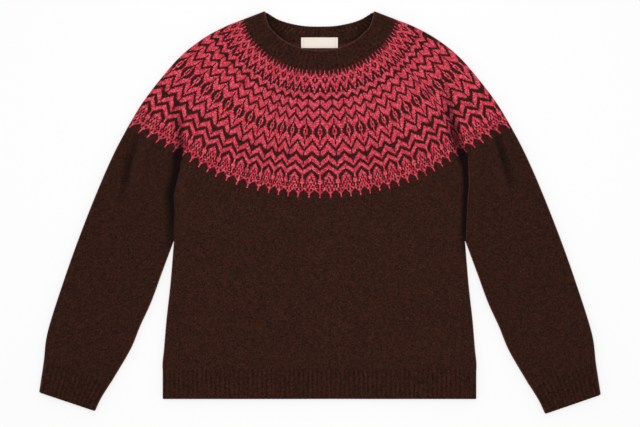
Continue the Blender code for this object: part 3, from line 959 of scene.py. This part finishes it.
def body_face(low_edge):
    low_y = HEM_TOP_Y + GAP
    corner = body_edge(0)
    top = shifted(low_edge, -GAP)
    top = ended(top, top(0), body_edge(1))
    bottom = line((0.0, low_y), (corner[0], low_y))
    return patch(bottom, top, line(bottom(0), top(0)), body_edge)


faces = body_face(edge_front), body_face(edge_back)
across = spread(BODY_COLUMNS)
rings = [full_ring(*faces, v, across, STACK) for v in np.linspace(0, side_share, BODY_ROWS[0])]
rings += [full_ring(*faces, v, across, STACK, folded=False)
          for v in np.linspace(side_share + SIDE_SPLIT, 1.0, BODY_ROWS[1])]
rings = np.array(rings)
knit = knit_layer(rings, 1, centre=centre_column(BODY_COLUMNS))
body = shell("body_knit", rings, KNIT_WALL, False, {"knit": knit, "lie": lie_layer(rings)},
             [body_look, inside_look])

def rib_fade(steps_v):
    """A rib's full depth up to near its top, where it eases into the plain knitting."""
    return soft((steps_v - 0.86) / 0.14) * 0.8 + 0.2


# hem rib
welt_top = HEM_TOP_Y - GAP
welt = patch(line((0.0, HEM_LOW_Y), (HEM_HALF, HEM_LOW_Y)),
             line((0.0, welt_top), (HEM_HALF, welt_top)),
             line((0.0, HEM_LOW_Y), (0.0, welt_top)),
             line((HEM_HALF, HEM_LOW_Y), (HEM_HALF, welt_top)))
steps_v = np.linspace(0, 1, RIB_ROWS)
rings = np.array([full_ring(welt, welt, v, spread(HEM_COLUMNS), STACK) for v in steps_v])
knit = knit_layer(rings, RIB, centre=centre_column(HEM_COLUMNS))
rings = ribbed(rings, False, knit, RIB_SINK, fade=rib_fade(steps_v))
hem = shell("hem_rib_welt", rings, KNIT_WALL, False, {"knit": knit}, [hem_look, inside_look],
            rolled=(0,))


# sleeves and cuffs
def sleeve_side(sign, drop):
    """Moves a left-half plan curve to its own side and lets it down towards the cuff."""
    top_y, cuff_y = ARMHOLE[-1][1], CUFF_INNER[-1][1]

    def move(source):
        pts = source.points.copy()
        share = np.clip((top_y - pts[:, 1]) / (top_y - cuff_y), 0.0, 1.0)
        pts[:, 1] -= drop * share ** 2
        pts[:, 0] = sign * (pts[:, 0] + 0.4 * drop * share ** 2)
        return polyline(pts)

    return move


sleeves, cuffs = {}, {}
for wearer_side, sign, drop in (("left", 1, LEFT_SLEEVE_DROP), ("right", -1, 0.0)):
    move = sleeve_side(sign, drop)
    inner_low = reverse(curve(SLEEVE_INNER))
    inner = shifted(joined(inner_low, armhole), -GAP)
    inner_share = inner_low.length / (inner_low.length + armhole.length)
    outer = reverse(curve(SLEEVE_OUTER))
    top = shifted(reverse(edge_sleeve), GAP)
    inner = ended(inner, inner(0), top(1) + (GAP, 0.0))
    top = ended(top, top(0), inner(1))
    outer = ended(outer, outer(0), top(0))
    rib_line = line(outer(0), inner(0))
    face = patch(move(rib_line), move(top), move(outer), move(inner))
    low_share = GAP / outer.length
    grade = 1 - (1 - np.linspace(0, 1, SLEEVE_COLUMNS)) ** 1.7    # closer near the inner side
    rings = [tube_section(face, v, grade, STACK, sign, True)
             for v in np.linspace(low_share, inner_share, SLEEVE_ROWS[0])]
    rings += [tube_section(face, v, grade, STACK, sign, False)
              for v in np.linspace(inner_share + SIDE_SPLIT, 1.0, SLEEVE_ROWS[1])]
    rings = np.array(rings)
    knit = knit_layer(rings)
    sleeves[wearer_side] = shell("sleeve_knit_" + wearer_side, rings, KNIT_WALL, sign > 0,
                                 {"knit": knit, "lie": lie_layer(rings)},
                                 [sleeve_look, inside_look])
    cuff_outer, cuff_inner = move(reverse(curve(CUFF_OUTER))), move(reverse(curve(CUFF_INNER)))
    cuff = patch(line(cuff_outer(0), cuff_inner(0)), line(cuff_outer(1), cuff_inner(1)),
                 cuff_outer, cuff_inner)
    steps_v = np.linspace(0, 1.0 - SEAM / cuff_outer.length, RIB_ROWS)
    grade = np.linspace(0, 1, CUFF_COLUMNS)
    rings = np.array([tube_section(cuff, v, grade, STACK, sign, True) for v in steps_v])
    knit = knit_layer(rings, RIB)
    knit[..., 1] = (steps_v * CUFF_DEPTH / ROW)[:, None]
    rings = ribbed(rings, sign > 0, knit, RIB_SINK, fade=rib_fade(steps_v))
    cuffs[wearer_side] = shell("cuff_rib_" + wearer_side, rings, KNIT_WALL, sign > 0,
                               {"knit": knit}, [cuff_look, inside_look], rolled=(0,))


# ---------------------------------------------------------------- label
def tape_label():
    """A strip of woven tape, softly crowned, its top eased down at its edges."""
    n_u, n_v = 41, 15
    u, v = np.meshgrid(np.linspace(0, 1, n_u), np.linspace(0, 1, n_v))
    edge = np.minimum(np.minimum(u, 1 - u) * 3.4, np.minimum(v, 1 - v)) * 2.0
    x = low.x + (high.x - low.x) * u
    y = low.y + (high.y - low.y) * v
    top = high.z + 0.00012 * np.sin(u * 9.0 + v * 4.0) - 0.00035 * np.exp(-edge * 14.0)
    upper = np.stack((x, y, top), -1).reshape(-1, 3)
    lower = np.stack((x, y, np.full(x.shape, low.z)), -1).reshape(-1, 3)
    ids = np.arange(n_u * n_v).reshape(n_v, n_u)
    total = n_u * n_v
    faces = []
    for k in range(n_v - 1):
        for c in range(n_u - 1):
            q = [ids[k, c], ids[k, c + 1], ids[k + 1, c + 1], ids[k + 1, c]]
            faces.append(q)
            faces.append([i + total for i in q[::-1]])
    ring = list(ids[0, :]) + list(ids[1:, -1]) + list(ids[-1, -2::-1]) + list(ids[-2:0:-1, 0])
    for a, b in zip(ring, ring[1:] + ring[:1]):
        faces.append([b, a, a + total, b + total])
    mesh = bpy.data.meshes.new("woven_neck_label")
    mesh.from_pydata(np.concatenate((upper, lower)).tolist(), [], faces)
    mesh.materials.append(label_look)
    mesh.shade_smooth()
    mesh.set_sharp_from_angle(angle=math.radians(50))
    obj = bpy.data.objects.new("woven_neck_label", mesh)
    bpy.context.scene.collection.objects.link(obj)
    return obj


label = tape_label()

# ---------------------------------------------------------------- pieces, with their CAD parts hidden
LAID = (
    # piece, slot, node, flat width, flat length, area
    (yoke, "yoke", "yoke", 1.18, 0.260, 0.200),
    (neckband, "rib", "neckband", 0.60, 0.033, None),
    (body, "knit", "body", 1.00, 0.340, None),
    (hem, "rib", "hem_rib", 1.02, 0.048, None),
    (sleeves["left"], "knit", "sleeve_left", 0.32, 0.42, None),
    (sleeves["right"], "knit", "sleeve_right", 0.32, 0.42, None),
    (cuffs["left"], "rib", "cuff_left", 0.21, 0.050, None),
    (cuffs["right"], "rib", "cuff_right", 0.21, 0.050, None),
    (label, "label", "neck_label", 0.0588, 0.017, None),
)
for piece, slot_name, node, width, length, area in LAID:
    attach(piece, "root")
    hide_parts(node)
    ["neckband_rib"] if node == "neck_label" else []

# ---------------------------------------------------------------- floor, light and camera
FLOOR_Z = -0.0003         # just under the cloth
scene = bpy.context.scene
floor_mesh = bpy.data.meshes.new("floor")
floor_mesh.from_pydata([(x, y, FLOOR_Z) for x, y in ((-3, -3), (3, -3), (3, 3), (-3, 3))], [],
                       [(0, 1, 2, 3)])
floor = bpy.data.objects.new("floor", floor_mesh)
scene.collection.objects.link(floor)
floor_look = bpy.data.materials.new("floor_white")
floor_look.use_nodes = True
floor_shader = floor_look.node_tree.nodes["Principled BSDF"]
floor_shader.inputs["Base Color"].default_value = (0.30, 0.30, 0.30, 1.0)
floor_shader.inputs["Emission Color"].default_value = (1.0, 1.0, 1.0, 1.0)
floor_shader.inputs["Emission Strength"].default_value = 0.675
floor_shader.inputs["Roughness"].default_value = 0.9
floor_shader.inputs["Specular IOR Level"].default_value = 0.0
floor_mesh.materials.append(floor_look)

world = bpy.data.worlds.new("studio")
world.use_nodes = True
world.node_tree.nodes["Background"].inputs["Color"].default_value = (1.0, 1.0, 1.0, 1.0)
world.node_tree.nodes["Background"].inputs["Strength"].default_value = 0.80
scene.world = world

lamp = bpy.data.lights.new("softbox", "AREA")
lamp.shape, lamp.size = "DISK", 0.9
lamp.energy = 5.3
lamp_object = bpy.data.objects.new("softbox", lamp)
lamp_object.location = (0.0, 0.12, 1.3)
scene.collection.objects.link(lamp_object)

camera = bpy.data.cameras.new("camera")
camera.lens, camera.sensor_width = 84.0, 36.0
camera_object = bpy.data.objects.new("camera", camera)
camera_object.location = (0.0008, -0.0024, 2.4)
scene.collection.objects.link(camera_object)
scene.camera = camera_object
scene.view_settings.view_transform = "Standard"
